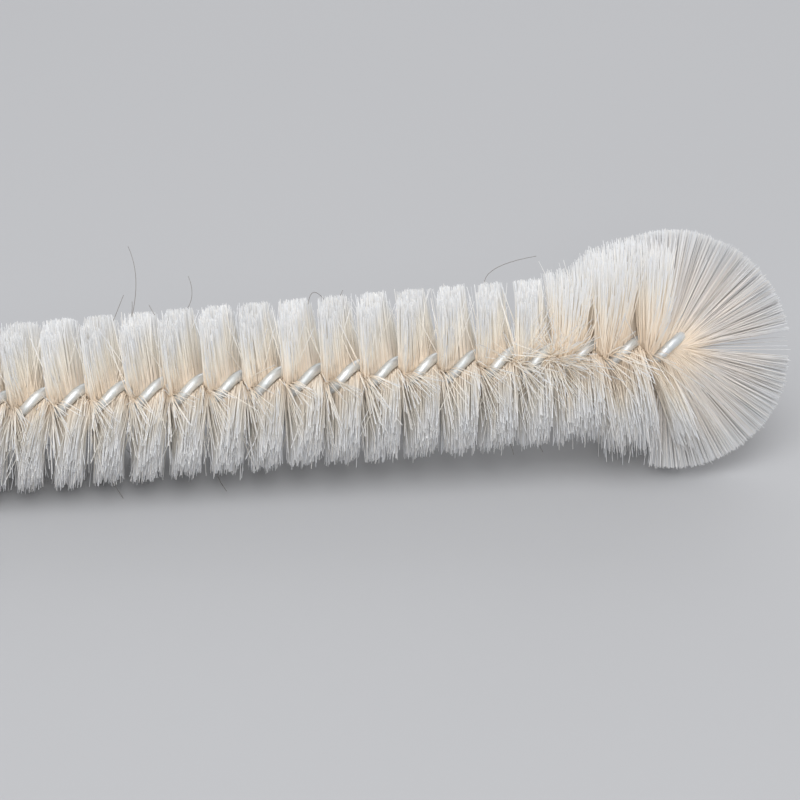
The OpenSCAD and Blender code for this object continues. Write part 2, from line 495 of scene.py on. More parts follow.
# Tones, each a column of the map. Within its column: where a bristle starts, where the
# corners of a wall's and of an end's face lie across it, and how an end's face rises.
TONES = 64
TONE_START = 0.2
TONE_WALL = (0.0, 0.6, 0.6, 0.0)
TONE_END = (0.0, 0.6, 0.3)
END_RISE = 0.004

# Share that a wall's normal keeps of its part across the sheet, and how far normals
# turn towards the tips in a tuft and in the fan.
SIDEWAYS = 0.55
TUFT_TIPWARD = 0.6
FAN_TIPWARD = 0.12

# Locks in one half turn, the swing and lean that a lock shares, the swing and lean
# that single bristles add, and the share of wild ones and how far those turn.
LOCKS = 30
LOCK_SWING = math.radians(1.5)
LOCK_LEAN = 0.008
LOOSE_SWING = math.radians(2)
LOOSE_LEAN = 0.012
WILD_SHARE = 0.03
WILD_TURN = 0.2

# How much of its swing a bristle has right at its root, where it starts to bend to
# the whole and over which share of its length, and the greatest swings.
ROOT_SWING = 0.6
BEND_FROM = 0.06
BEND_OVER = 0.5
MOST_SWING = math.radians(76)
WIDEST_SWING = math.radians(88)

# How steeply the parting climbs with the bristles' stand, how soft its edges are, how
# much the combing varies, and how far from the front it reaches.
PART_CLIMB = 2.5
PART_SOFT = math.radians(9)
COMB_SPREAD = 0.35
COMB_WITHIN = math.radians(100)

# Bristles left uncombed below the parting: the least angle of their tips, the most of
# their stand, and how far they lean.
SPRAY_TIP = 0.12
SPRAY_STAND = 0.2
SPRAY_LEAN = (0.1, 0.4)

# Where bristles burst out to the front: the half turn, the share of the bristles and
# the width in half turns, at each of the two grips where the head meets the shoulder.
BURSTS = ((HEAD_TURN, 0.8, 0.28), (HEAD_TURN + 1, 0.35, 0.22))
# How far from the front they burst, their swing in shares of the usual one, the
# spread of their lean, how much shorter they may be, and how much more they bow.
BURST_WITHIN = math.radians(60)
BURST_SWING = 0.7
BURST_LEAN = 0.3
BURST_SHORT = 0.6
BURST_BOW = 3

# Angles below the front: where the trim is most ragged and how much more, where that
# ends, and where the bristles start and stop trailing, each over a soft stretch.
RAGGED_FULL = math.radians(60)
RAGGED_MORE = 2.5
RAGGED_END = 2.2
TRAIL_FROM, TRAIL_RISE = 0.1, 0.4
TRAIL_TO, TRAIL_FALL = 2.4, 0.8

# Share of the gap that the layers fill, and how far the roots gather towards the
# middle of their grip on the front.
GRIP_FILL = 0.65
GATHER = 0.4


class Tuft(NamedTuple):
    """Bristles gripped between two half turns of the wire, and how they stand.

    Ragged is the spread of their trim. The others are shares of the head's: how
    loose single bristles are, and how far they swing, lean and trail.
    """

    start: float
    stop: float
    ragged: float = 0.012
    loose: float = 1.0
    wide: float = 1.0
    leaning: float = 1.0
    trailing: float = 1.0


def bristle_points(line, share, thickness):
    """Rings round each line of a bundle: three points square to the line's heading.

    Line holds one row of points for each bristle, and share how far each point is
    from root to tip. The ring's radius is half the thickness, and narrows evenly
    towards the tip.
    """
    heading = unit(np.gradient(line, axis=1))
    aside = unit(np.cross(heading, ASKEW))
    over = np.cross(heading, aside)
    angle = np.linspace(0, 2 * math.pi, BRISTLE_SIDES, endpoint=False) + math.pi / 4
    radius = (thickness[:, None] / 2 * (1 - TAPER * share))[:, :, None, None]
    circle = (np.cos(angle)[:, None] * aside[:, :, None]
              + np.sin(angle)[:, None] * over[:, :, None])
    return line[:, :, None] + radius * circle


def sheet_normals(points, sheet, heading, tipward):
    """Normal for every corner of a bundle's walls and ends, in the order of its faces.

    A wall's own normal is the cross product of its diagonals. The part of it along
    the normal of the sheet of bristles stays whole and the part across is cut to
    SIDEWAYS of itself, since much of the light that a bristle takes on one side
    leaves it on the other. Tipward of the heading is added, since the light reaches
    a bristle from the side of the tips. An end keeps its own normal.
    """
    beside = np.roll(points, -1, axis=2)
    own = unit(np.cross(beside[:, 1:] - points[:, :-1], points[:, 1:] - beside[:, :-1]))
    sheet = 0.5 * (sheet[:, 1:] + sheet[:, :-1])[:, :, None]
    square = np.sum(own * sheet, axis=-1, keepdims=True) * sheet
    wall = unit(unit(square + SIDEWAYS * (own - square)) + tipward * heading[:, 1:, None])
    spoke = points[:, [0, -1], 1:] - points[:, [0, -1], :1]
    end = unit(np.cross(spoke[:, :, 0], spoke[:, :, 1])) * np.array([-1.0, 1.0])[:, None]
    return np.concatenate([np.repeat(wall.reshape(-1, 3), 4, axis=0),
                           np.repeat(end.reshape(-1, 3), BRISTLE_SIDES, axis=0)])


def make_bristles(name, layout, line, share, thickness, rng, material, sheet=None):
    """One mesh of many bristles, each a closed three-sided tube along its own line.

    Its map holds the bristle's tone and the share of its length, so that a bristle
    takes one column and all bristles of a tone share it. Sheet is the normal of the
    sheet that the bristles lie in; without one, each lies in the sheet that holds
    the brush's length. What would pass through the floor is raised to it, and moved
    outwards by as much.
    """
    count, rings = line.shape[:2]
    world = layout.to_world(line)
    sunk = np.maximum(FLOOR_GAP * thickness[:, None] - world[..., 2], 0)
    world[..., 2] += sunk
    world[..., 1] += sunk * np.sign(world[..., 1])
    solid = bristle_points(world, share, thickness)
    heading = unit(np.gradient(world, axis=1))
    if sheet is None:
        tipward, sheet = TUFT_TIPWARD, unit(np.cross(heading, layout.turned(AHEAD)))
    else:
        tipward, sheet = FAN_TIPWARD, np.broadcast_to(layout.turned(sheet), world.shape)
    # A whole bristle runs from tip to tip, so its first half heads for its root.
    outward = np.ones(rings)
    if share[0] == 1:
        outward[:rings // 2 + 1] = -1
    first = (np.arange(count) * rings * BRISTLE_SIDES)[:, None, None]
    walls = first + tube_faces(rings, BRISTLE_SIDES)
    corner = np.arange(BRISTLE_SIDES)
    last = first + (rings - 1) * BRISTLE_SIDES
    ends = np.concatenate([first + corner[::-1], last + corner], axis=1)
    left = (rng.integers(0, TONES, count)[:, None, None] + TONE_START) / TONES
    maps = []
    for faces, aside, rise in ((walls, TONE_WALL, 0.0), (ends, TONE_END, END_RISE)):
        aside = np.broadcast_to(np.array(aside), faces.shape)
        along = inset(share[(faces - first) // BRISTLE_SIDES], MAP_EDGE)
        maps.append(np.stack([left + aside / TONES, along + rise * aside], -1).reshape(-1, 2))
    faces = [walls.reshape(-1, 4), ends.reshape(-1, BRISTLE_SIDES)]
    piece = make_mesh(name, solid.reshape(-1, 3), faces, {"OFBake": np.concatenate(maps)},
                      material)
    piece.data.normals_split_custom_set(
        sheet_normals(solid, sheet, heading * outward[:, None], tipward))
    return piece


def locks(places, amount, rng):
    """A shared pair of offsets for bristles that cling together.

    Each bristle takes the random offsets of the nearest of a few centres, so that
    neighbours lean alike and the gaps between locks open. Nearness is measured in
    shares of the whole range of places.
    """
    low, high = places.min(axis=0), places.max(axis=0)
    centres = low + (high - low) * rng.random((amount, places.shape[1]))
    gap = ((places[:, None] - centres) / (high - low)) ** 2
    nearest = gap.sum(axis=-1).argmin(axis=1)
    return rng.standard_normal((amount, 2))[nearest]


def wrapped(angle):
    """The same angle between minus and plus half a turn."""
    return (angle + math.pi) % (2 * math.pi) - math.pi


def softly_over(value, least, softness):
    """The value held above its least by a soft ramp: the logarithm of one plus the
    exponential of how far the value is over it."""
    return least + softness * np.logaddexp(0, (value - least) / softness)


def combed(bristle, stand, tip, rng):
    """How far tips are combed off the parting along the front of the brush.

    Both angles count downwards from the front. The parting climbs where the bristles
    stand lower, so the bristles on one side of each grip all go up and those on the
    other side all go down, and both keep clear of the front.
    """
    down = tip > -bristle.part_at - PART_CLIMB * stand
    over = softly_over(tip, bristle.clear_down, PART_SOFT)
    under = -softly_over(-tip, bristle.clear_up, PART_SOFT)
    moved = np.where(down, over, under) - tip
    moved *= 1 + COMB_SPREAD * rng.standard_normal(len(tip))
    return moved * (np.abs(tip) < COMB_WITHIN)


def bursting(turns):
    """Share of the bristles that burst out to the front: a bell round each burst."""
    return sum(share * np.exp(-((turns - place) / width) ** 2)
               for place, share, width in BURSTS)


def spread_out(bristle, tuft, turns, layers, end, rng):
    """Swing and lean of each bristle end as the wire holds it, before it is combed.

    The swing is the splay times a power of the layer, and the lean goes with the
    layer. Locks, single bristles and a few wild ones add their own to both.
    """
    total = len(turns)
    places = np.stack([turns, layers, end], -1)
    lock = locks(places, round(LOCKS * (tuft.stop - tuft.start)), rng)
    opening = np.sign(layers) * np.abs(layers) ** bristle.open
    swing = bristle.splay * tuft.wide * opening + LOCK_SWING * lock[:, 0]
    swing += rng.standard_normal(total) * LOOSE_SWING * tuft.loose
    lean = end * layers * np.tan(bristle.lean) * tuft.leaning + LOCK_LEAN * lock[:, 1]
    lean += rng.standard_normal(total) * LOOSE_LEAN * tuft.loose
    wild = rng.random(total) < WILD_SHARE * tuft.loose
    swing += wild * rng.standard_normal(total) * WILD_TURN
    lean += wild * rng.standard_normal(total) * WILD_TURN
    return swing, lean


def combed_out(bristle, tuft, turns, stand, end, swing, lean, rng):
    """Swing and lean after combing, the tips' angles, and which ends burst out.

    Most ends are combed off the front. Some burst out there, and some below the
    parting are left as they are.
    """
    total = len(turns)
    tip = wrapped(stand - end * swing)
    burst = rng.random(total) < bursting(turns) * (np.abs(tip) < BURST_WITHIN)
    sprayed = rng.random(total) < bristle.spray / tuft.loose
    sprayed &= (tip > SPRAY_TIP) & (stand < SPRAY_STAND)
    swing = swing - end * combed(bristle, stand, tip, rng) * ~(burst | sprayed)
    most = min(MOST_SWING * tuft.wide, WIDEST_SWING)
    swing = np.clip(np.where(burst, BURST_SWING * swing, swing), -most, most)
    lean = lean + BURST_LEAN * burst * rng.standard_normal(total)
    lean += sprayed * rng.uniform(*SPRAY_LEAN, total)
    return swing, lean, wrapped(stand - end * swing), burst


def trimmed(layout, tuft, reach, turns, tip, burst, rng):
    """Length of each bristle end: its reach with a ragged trim, most so below the front."""
    rough = smooth(tip / RAGGED_FULL) * (tip < RAGGED_END)
    ragged = tuft.ragged * (1 + RAGGED_MORE * rough)
    length = reach(turns, layout.front + tip) * (1 + rng.standard_normal(len(turns)) * ragged)
    return length * (1 - burst * BURST_SHORT * rng.random(len(turns)))


def trailed(bristle, tuft, tip, burst):
    """How far the heading of the ends below the front trails back: up by one soft step
    and down by another."""
    below = smooth((tip - TRAIL_FROM) / TRAIL_RISE) * smooth((TRAIL_TO - tip) / TRAIL_FALL)
    return np.tan(bristle.trail) * tuft.trailing * below * ~burst


def tuft_lines(layout, wire, bristle, tuft, reach, rng):
    """Lines of the bristles of one tuft.

    A bristle passes between the two wires, and both of its ends stand out. An end
    points square to the line that joins the wires, swung towards one of them: the
    swing grows with its layer, so that the layers open like a broom. At the root it
    is a share of the swing before combing, and it goes to the combed swing by a
    smooth step along the bristle. Its heading leans a little along the brush, and
    below the front it trails back. Reach gives the distance from the axis at which
    an end is trimmed, for the turn and the direction that it points in.
    """
    span = tuft.stop - tuft.start
    count = round(bristle.count * span)
    half_turns = tuft.start + span * (np.arange(count) + rng.random(count)) / count
    layer = rng.uniform(-1, 1, count)
    end = np.repeat([1.0, -1.0], count)
    turns, layers = np.tile(half_turns, 2), np.tile(layer, 2)
    angle = layout.front + turns * HALF_TURN
    strand = across(angle)
    stand = across(angle + math.pi / 2) * end[:, None]
    swing, lean = spread_out(bristle, tuft, turns, layers, end, rng)
    rooted = ROOT_SWING * swing
    stand_at = wrapped(angle + end * math.pi / 2 - layout.front)
    swing, lean, tip_at, burst = combed_out(bristle, tuft, turns, stand_at, end, swing, lean, rng)
    length = trimmed(layout, tuft, reach, turns, tip_at, burst, rng)
    lean -= trailed(bristle, tuft, tip_at, burst)
    bow = rng.standard_normal((2 * count, 2)) * bristle.curl * tuft.loose / length[:, None]
    bow *= 1 + BURST_BOW * burst[:, None]
    # The line itself, from the grip to the tip.
    share = RING_AT[None, :]
    bent = share + (1 - share) * smooth((share - BEND_FROM) / BEND_OVER)
    swung = rooted[:, None] + (swing - rooted)[:, None] * bent
    swung = (swung + hump(share) * bow[:, :1])[..., None]
    leant = lean[:, None] * share + hump(share) * bow[:, 1:]
    out = (length[:, None] * share)[..., None]
    line = out * (np.cos(swung) * stand[:, None] + np.sin(swung) * strand[:, None])
    grip = GRIP_FILL * (wire.gap - bristle.thickness) / 2
    line += (layers[:, None] * grip * (1 - share))[..., None] * strand[:, None]
    near = np.clip(np.cos(stand_at), 0, 1) ** 2
    gather = GATHER * near * stand_at / HALF_TURN * layout.pitch
    along = layout.place(turns)[:, None] + length[:, None] * leant
    line[..., 0] = along + gather[:, None] * (1 - share) ** 2
    # The two ends join at the grip, where they share their first point.
    whole = np.concatenate([line[count:, :0:-1], line[:count]], axis=1)
    return whole, np.concatenate([RING_AT[:0:-1], RING_AT])


def thicknesses(bristle, count, rng):
    """Thickness of each bristle: the usual one with a spread, kept within limits."""
    return bristle.thickness * (1 + THICK_SPREAD * rng.standard_normal(count)).clip(*THICK_LIMITS)


# ----------------------------------------------------------------------------
# Materials
# ----------------------------------------------------------------------------

def feed(tree, value, socket):
    """Gives an input socket its value: another socket's output, or a plain value."""
    if isinstance(value, bpy.types.NodeSocket):
        tree.links.new(value, socket)
    else:
        socket.default_value = value


def math_node(tree, operation, *values, clamp=False):
    """A math node fed with the values; gives its output."""
    node = tree.nodes.new("ShaderNodeMath")
    node.operation = operation
    node.use_clamp = clamp
    for socket, value in zip(node.inputs, values):
        feed(tree, value, socket)
    return node.outputs[0]


def mix_colour(tree, factor, first, second, blend="MIX"):
    """A colour mix fed with its factor and two colours; gives its output."""
    node = tree.nodes.new("ShaderNodeMix")
    node.data_type = "RGBA"
    node.blend_type = blend
    for place, value in ((0, factor), (6, first), (7, second)):
        feed(tree, value, node.inputs[place])
    return node.outputs[2]


def ramp_between(tree, value, low, high):
    """Smooth step of a value from 0 at low to 1 at high."""
    node = tree.nodes.new("ShaderNodeMapRange")
    node.interpolation_type = "SMOOTHSTEP"
    for label, given in (("Value", value), ("From Min", low), ("From Max", high)):
        feed(tree, given, node.inputs[label])
    return node.outputs["Result"]


def noise_value(tree, place, scale, detail):
    """Value of a cloudy noise read at a place."""
    node = tree.nodes.new("ShaderNodeTexNoise")
    for label, given in (("Vector", place), ("Scale", scale), ("Detail", detail)):
        feed(tree, given, node.inputs[label])
    return node.outputs[0]


def map_place(tree, name):
    """Place on a piece's own map."""
    node = tree.nodes.new("ShaderNodeUVMap")
    node.uv_map = name
    return node.outputs[0]


def object_place(tree):
    """Place on the object, in metres."""
    return tree.nodes.new("ShaderNodeTexCoord").outputs["Object"]


def new_material(name):
    """A material of nodes, with its tree and its shader."""
    material = bpy.data.materials.new(name)
    material.use_nodes = True
    return material, material.node_tree, material.node_tree.nodes["Principled BSDF"]


def shaded(colour, red, green, blue):
    """A colour whose channels are shares of the given one's."""
    return red * colour[0], green * colour[1], blue * colour[2], 1.0


# What the tone changes: the way along at which the middle's colour starts, where the
# tip's starts and ends and how far that is shifted, the tint of a warm tone and its
# most, the draw that is neither lighter nor darker, and the range of roughness.
# The root's colour, which gives way to the middle's, is painted warm shade, and the tip's is
# painted cool shade.
MIDDLE_FROM = 0.1
TIP_FROM, TIP_TO = 0.55, 1.0
TIP_SHIFT, TIP_SHIFT_LEAST = 0.2, -0.1
WARM = (1.0, 0.90, 0.76, 1)
WARM_MOST = 0.45
EVEN_TONE = 0.6
ROUGH_RANGE, ROUGH_LEAST = 0.14, 0.46


def bristle_group():
    """Node group: the colour and roughness of a bristle from its tone and the way along.

    The colour goes from root over middle to tip. The root's tan is painted warm
    shade and the tip's cool grey is painted shade and cool light; the middle is the
    bristle's own. Each tone is a little lighter or darker and a little warmer or
    greyer than the next.
    """
    name = "bristle_tone"
    if name in bpy.data.node_groups:
        return bpy.data.node_groups[name]
    tree = bpy.data.node_groups.new(name, "ShaderNodeTree")
    for label, way, kind in (
            ("Root", "INPUT", "Color"), ("Middle", "INPUT", "Color"),
            ("Tip", "INPUT", "Color"), ("Spread", "INPUT", "Float"),
            ("Root End", "INPUT", "Float"), ("Colour", "OUTPUT", "Color"),
            ("Roughness", "OUTPUT", "Float")):
        tree.interface.new_socket(name=label, in_out=way, socket_type="NodeSocket" + kind)
    given = tree.nodes.new("NodeGroupInput").outputs
    result = tree.nodes.new("NodeGroupOutput").inputs
    parts = tree.nodes.new("ShaderNodeSeparateXYZ")
    feed(tree, map_place(tree, "OFBake"), parts.inputs[0])
    column, along, _ = parts.outputs
    noise = tree.nodes.new("ShaderNodeTexWhiteNoise")
    noise.noise_dimensions = "1D"
    tone = math_node(tree, "FLOOR", math_node(tree, "MULTIPLY", column, TONES))
    feed(tree, tone, noise.inputs["W"])
    draws = tree.nodes.new("ShaderNodeSeparateColor")
    feed(tree, noise.outputs["Color"], draws.inputs[0])
    lightness, warmth, shift = draws.outputs
    rooted = ramp_between(tree, along, MIDDLE_FROM, given["Root End"])
    low = mix_colour(tree, rooted, given["Root"], given["Middle"])
    moved = math_node(tree, "MULTIPLY_ADD", shift, TIP_SHIFT, TIP_SHIFT_LEAST)
    moved = math_node(tree, "ADD", along, moved)
    whole = mix_colour(tree, ramp_between(tree, moved, TIP_FROM, TIP_TO), low, given["Tip"])
    warm = math_node(tree, "MULTIPLY", warmth, WARM_MOST)
    tinted = mix_colour(tree, warm, whole, WARM, "MULTIPLY")
    light = math_node(tree, "SUBTRACT", lightness, EVEN_TONE)
    light = math_node(tree, "MULTIPLY_ADD", light, given["Spread"], 1.0)
    grey = tree.nodes.new("ShaderNodeCombineXYZ")
    for socket in grey.inputs:
        feed(tree, light, socket)
    final = mix_colour(tree, 1.0, tinted, grey.outputs[0], "MULTIPLY")
    feed(tree, final, result["Colour"])
    rough = math_node(tree, "MULTIPLY_ADD", shift, ROUGH_RANGE, ROUGH_LEAST)
    feed(tree, rough, result["Roughness"])
    return tree


def bristle_material(name, root, middle, tip, spread, root_end):
    """Satin bristle: its colour and roughness come from the tone group.

    Spread is how far the tones differ, and root end the way along at which the
    root's colour, painted warm shade, has gone.
    """
    material, tree, shader = new_material(name)
    tone = tree.nodes.new("ShaderNodeGroup")
    tone.node_tree = bristle_group()
    for label, value in (("Root", root), ("Middle", middle), ("Tip", tip),
                         ("Spread", spread), ("Root End", root_end)):
        feed(tree, value, tone.inputs[label])
    feed(tree, tone.outputs["Colour"], shader.inputs["Base Color"])
    feed(tree, tone.outputs["Roughness"], shader.inputs["Roughness"])
    feed(tree, 1.52, shader.inputs["IOR"])
    return material


def head_bristle_material(bristle):
    """The head's cream bristle, with painted warm shade at its root and painted cool shade at its
    tip.
    """
    return bristle_material("cream_bristle", bristle.root, bristle.middle, bristle.tip,
                            spread=0.3, root_end=0.6)


def shoulder_bristle_material(bristle):
    """The longer bristle of the shoulder, tan further up from its root: that tan is painted warm
    shade, and its tip is painted cool shade.
    """
    return bristle_material("long_bristle", bristle.long_root_warm_shade, bristle.middle, bristle.tip,
                            spread=0.1, root_end=0.95)


def fan_bristle_material(bristle):
    """The bristle of the fan, its middle and tip painted greyer as shade because its plane faces
    away from the sky, with painted warm shade at its root.
    """
    return bristle_material(
        "rim_bristle", bristle.root, shaded(bristle.middle, 0.88, 0.88, 0.92),
        shaded(bristle.tip, 0.95, 0.95, 0.95), spread=0.12, root_end=0.45)


def stray_material(bristle):
    """The stray hairs, of one colour along their length."""
    return bristle_material("stray_hair", bristle.stray, bristle.stray, bristle.stray,
                            spread=0.15, root_end=0.5)


# Patches of duller zinc in one metre, and fine marks in one turn round the wire and in
# one metre along it.
PATCHES = 900
MARKS = (26, 500, 1)


def wire_material(wire):
    """Galvanised wire: bright zinc with duller patches and fine marks along it."""
    material, tree, shader = new_material("zinc_wire")
    patches = noise_value(tree, object_place(tree), PATCHES, 4)
    stretch = tree.nodes.new("ShaderNodeMapping")
    feed(tree, map_place(tree, "run"), stretch.inputs["Vector"])
    feed(tree, MARKS, stretch.inputs["Scale"])
    marks = noise_value(tree, stretch.outputs[0], 1, 3)
    blotch = ramp_between(tree, patches, 0.42, 0.66)
    streak = ramp_between(tree, marks, 0.45, 0.75)
    dull = math_node(tree, "ADD", math_node(tree, "MULTIPLY", blotch, 0.55),
                     math_node(tree, "MULTIPLY", streak, 0.35), clamp=True)
    colour = mix_colour(tree, dull, tuple(wire.light), tuple(wire.dark))
    bump = tree.nodes.new("ShaderNodeBump")
    feed(tree, 0.35, bump.inputs["Strength"])
    feed(tree, 0.03 * MM, bump.inputs["Distance"])
    feed(tree, math_node(tree, "ADD", marks, patches), bump.inputs["Height"])
    feed(tree, colour, shader.inputs["Base Color"])
    feed(tree, math_node(tree, "MULTIPLY_ADD", dull, 0.2, 0.42), shader.inputs["Roughness"])
    feed(tree, math_node(tree, "MULTIPLY_ADD", blotch, -0.25, 0.6), shader.inputs["Metallic"])
    feed(tree, bump.outputs[0], shader.inputs["Normal"])
    return material


def floor_material(stage):
    """Plain matt floor with a very faint, broad change of tone."""
    material, tree, shader = new_material("studio_floor")
    cloud = noise_value(tree, object_place(tree), 9, 2)
    colour = mix_colour(tree, cloud, tuple(stage.floor), shaded(stage.floor, 0.97, 0.97, 0.97))
    feed(tree, colour, shader.inputs["Base Color"])
    feed(tree, 0.75, shader.inputs["Roughness"])
    feed(tree, 0.25, shader.inputs["Specular IOR Level"])
    return material


# ----------------------------------------------------------------------------
# Operators
# ----------------------------------------------------------------------------

# First numbers of the random draws of the shoulder's, the fan's and the stray pieces.
# The head's tufts use the numbers from 0 up.
SHOULDER_DRAWS = 50
FAN_DRAWS = 60
STRAY_DRAWS = 70


def settings():
    """The wire's and the bristles' settings, and the layout that follows from them."""
    scene = bpy.context.scene
    return scene.brush_wire, scene.brush_bristle, Layout(scene.brush_wire, scene.brush_bristle)


def draws(bristle, first):
    """The random draws of one piece; the first number sets its own apart."""
    return np.random.default_rng(bristle.seed * 100 + first)


def keep(piece, slot, *nodes):
    """Lets a finished piece stand for its nodes and ride on the body. Its slot is not used."""
    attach(piece, "root")
    if nodes:
        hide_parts(*nodes)


class TUBE_BRUSH_OT_wire(bpy.types.Operator):
    """Make the twisted wire with its fold and hanging eye"""

    bl_idname = "tube_brush.wire"
    bl_label = "Wire"

    def execute(self, context):
        wire, _, layout = settings()
        keep(make_wire(layout, wire), "galvanised_wire", "wire")
        return {"FINISHED"}


def head_reach(layout, half_turns, angle):
    """Reach of a bristle of the straight head: the same all round."""
    return np.full(len(half_turns), layout.head_r)


class TUBE_BRUSH_OT_head(bpy.types.Operator):
    """Make the tufts of the straight head, one for each half turn of the wire"""

    bl_idname = "tube_brush.head"
    bl_label = "Head tufts"

    def execute(self, context):
        wire, bristle, layout = settings()
        material = head_bristle_material(bristle)
        reach = partial(head_reach, layout)
        for index, node in enumerate(TUFT_NODES):
            rng = draws(bristle, index)
            tuft = Tuft(HEAD_TURN + index, HEAD_TURN + index + 1)
            line, share = tuft_lines(layout, wire, bristle, tuft, reach, rng)
            thick = thicknesses(bristle, len(line), rng)
            piece = make_bristles(f"bristles_{node}", layout, line, share, thick, rng, material)
            keep(piece, "head_bristle", node)
        return {"FINISHED"}


class Trim(NamedTuple):
    """Reaches of a shoulder tuft in shares of its radius, at its top and its foot.

    The top's grows by a smooth step from one half turn on, over a stretch towards
    the tip. The front foot's grows along the long tuft.
    """

    top: float
    top_growth: float
    grows_from: float
    grows_over: float
    front_foot: float
    foot_growth: float
    back_foot: float


# Each shoulder tuft, how it stands and how it is trimmed.
STEP_TUFT = Tuft(LONG_TURN, HEAD_TURN, 0.02, 1.7, 1.3, -0.8, 0.5)
STEP_TRIM = Trim(0.95, 0.16, HEAD_TURN - 0.4, 0.5, 0.85, 0.0, 0.88)
LONG_TUFT = Tuft(FAN_TURN, LONG_TURN, 0.02, 1.7, 1.3, -0.8, 0.1)
LONG_TRIM = Trim(0.91, 0.08, LONG_TURN, 0.7, 0.75, 0.06, 0.86)
TIP_TUFT = Tuft(TIP_TURN, FAN_TURN, 0.02, 1.7, 1.3, -0.8, -1.3)
TIP_TRIM = Trim(0.99, 0.0, FAN_TURN, 1.0, 0.86, 0.0, 0.93)
# Depth at which the front foot's reach starts and height at which the top's does, and
# the stretches over which they take hold.
FRONT_FROM, FRONT_OVER = -0.3, 0.5
TOP_FROM, TOP_OVER = -0.4, 0.8


def shoulder_reach(layout, radius, trim, half_turns, angle):
    """Reach of a shoulder bristle for its turn and the direction that it points in.

    It goes from the foot's reach to the top's by a soft step in the height of the
    direction, and the foot's from the back's to the front's by one in its depth.
    """
    top_share = smooth((trim.grows_from - half_turns) / trim.grows_over)
    top = radius * (trim.top + trim.top_growth * top_share)
    front = radius * (trim.front_foot + trim.foot_growth * smooth(LONG_TURN - half_turns))
    back = radius * trim.back_foot
    height = np.cos(angle - layout.front + math.pi / 2)
    depth = np.cos(angle - layout.front)
    foot = back + (front - back) * smooth((depth - FRONT_FROM) / FRONT_OVER)
    return foot + (top - foot) * smooth((height - TOP_FROM) / TOP_OVER)


class TUBE_BRUSH_OT_shoulder(bpy.types.Operator):
    """Make the two longer tufts between the head and the fan"""

    bl_idname = "tube_brush.shoulder"
    bl_label = "Shoulder tufts"

    def execute(self, context):
        wire, bristle, layout = settings()
        material = shoulder_bristle_material(bristle)
        for name, radius, tuft, trim, nodes in (
                ("shoulder_step", bristle.step_r, STEP_TUFT, STEP_TRIM, ["shoulder_step"]),
                ("shoulder_long", bristle.shoulder_r, LONG_TUFT, LONG_TRIM, ["shoulder_long"]),
                ("last_turn", bristle.shoulder_r, TIP_TUFT, TIP_TRIM, [])):
            rng = draws(bristle, SHOULDER_DRAWS + round(2 * tuft.start))
            reach = partial(shoulder_reach, layout, radius, trim)
            line, share = tuft_lines(layout, wire, bristle, tuft, reach, rng)
            thick = thicknesses(bristle, len(line), rng)
            piece = make_bristles(f"bristles_{name}", layout, line, share, thick, rng, material)
            keep(piece, "fan_bristle", *nodes)
        return {"FINISHED"}


# Angles of the fan's edges beside the slit, and of the lone bristles within it, all
# measured upwards from the brush's axis, and how far back the fan reaches.
SLIT_TOP = math.radians(2.6)
SLIT_FOOT = math.radians(-8.0)
LONE = np.radians([-0.8, -3.4, -5.2, 1.2])
FAN_SWEEP = math.radians(97)

# Power of the draw by which the fan is denser at the back. Locks in each half, the
# power by which they are narrower beside the slit, how far they pull their bristles
# together there and everywhere, and the angle over which that eases off.
BACK_DENSER = 0.9
FAN_LOCKS = 40
LOCKS_NARROW = 1.3
CLING_SLIT, CLING_ALL = 0.45, 0.08
CLING_OVER = math.radians(48)
# Spread of single bristles, the angle over which it comes in, and at the back edge
# the share of the sweep from which, and over which, that edge frays, and how far.
FAN_LOOSE = math.radians(1.6)
LOOSE_OVER = math.radians(40)
FRAY_FROM, FRAY_OVER = 0.8, 0.2
FRAY = math.radians(5)
# Roots: how far ahead of the fold's start they lie beside the slit, how far back
# they move from there, half their height, and how much of that goes, in millimetres.
ROOT_AHEAD, ROOT_BACK = 0.9, 2.0
ROOT_HALF, ROOT_CLOSE = 0.35, 0.5
# Rim: spread of the trim, half the thickness of the fan there, how much that grows to
# the back, and its spread, the last three in millimetres.
FAN_RAGGED = 0.009
RIM_HALF, RIM_GROWTH, RIM_LOOSE = 1.0, 0.5, 0.15
# Bow of a fan bristle in shares of the curl.
FAN_BOW = 0.5


def fan_angles(bristle, side, rng):
    """Angle and layer of each bristle end in one half of the fan.

    Angles are spread from the slit to the back, denser towards the back. Locks pull
    their bristles together round a shared angle, most of all beside the slit.
    """
    count = bristle.fan_count
    slit = SLIT_TOP if side > 0 else -SLIT_FOOT
    draw = (np.arange(count) + rng.random(count)) / count
    angle = slit + (FAN_SWEEP - slit) * draw ** BACK_DENSER
    layer = rng.uniform(-1, 1, count)
    edges = np.sort(rng.random(FAN_LOCKS)) ** LOCKS_NARROW * (FAN_SWEEP - slit) + slit
    lock = np.searchsorted(edges, angle)
    members = np.bincount(lock, minlength=FAN_LOCKS + 1)
    middle = np.bincount(lock, angle, FAN_LOCKS + 1) / np.maximum(members, 1)
    cling = CLING_SLIT * (1 - smooth(angle / CLING_OVER)) + CLING_ALL
    angle += (middle[lock] - angle) * cling
    angle += rng.standard_normal(count) * FAN_LOOSE * smooth(angle / LOOSE_OVER)
    frayed = smooth((angle / FAN_SWEEP - FRAY_FROM) / FRAY_OVER)
    angle += np.abs(rng.standard_normal(count)) * FRAY * frayed
    if side > 0:
        angle[:len(LONE)] = LONE
    return angle, layer


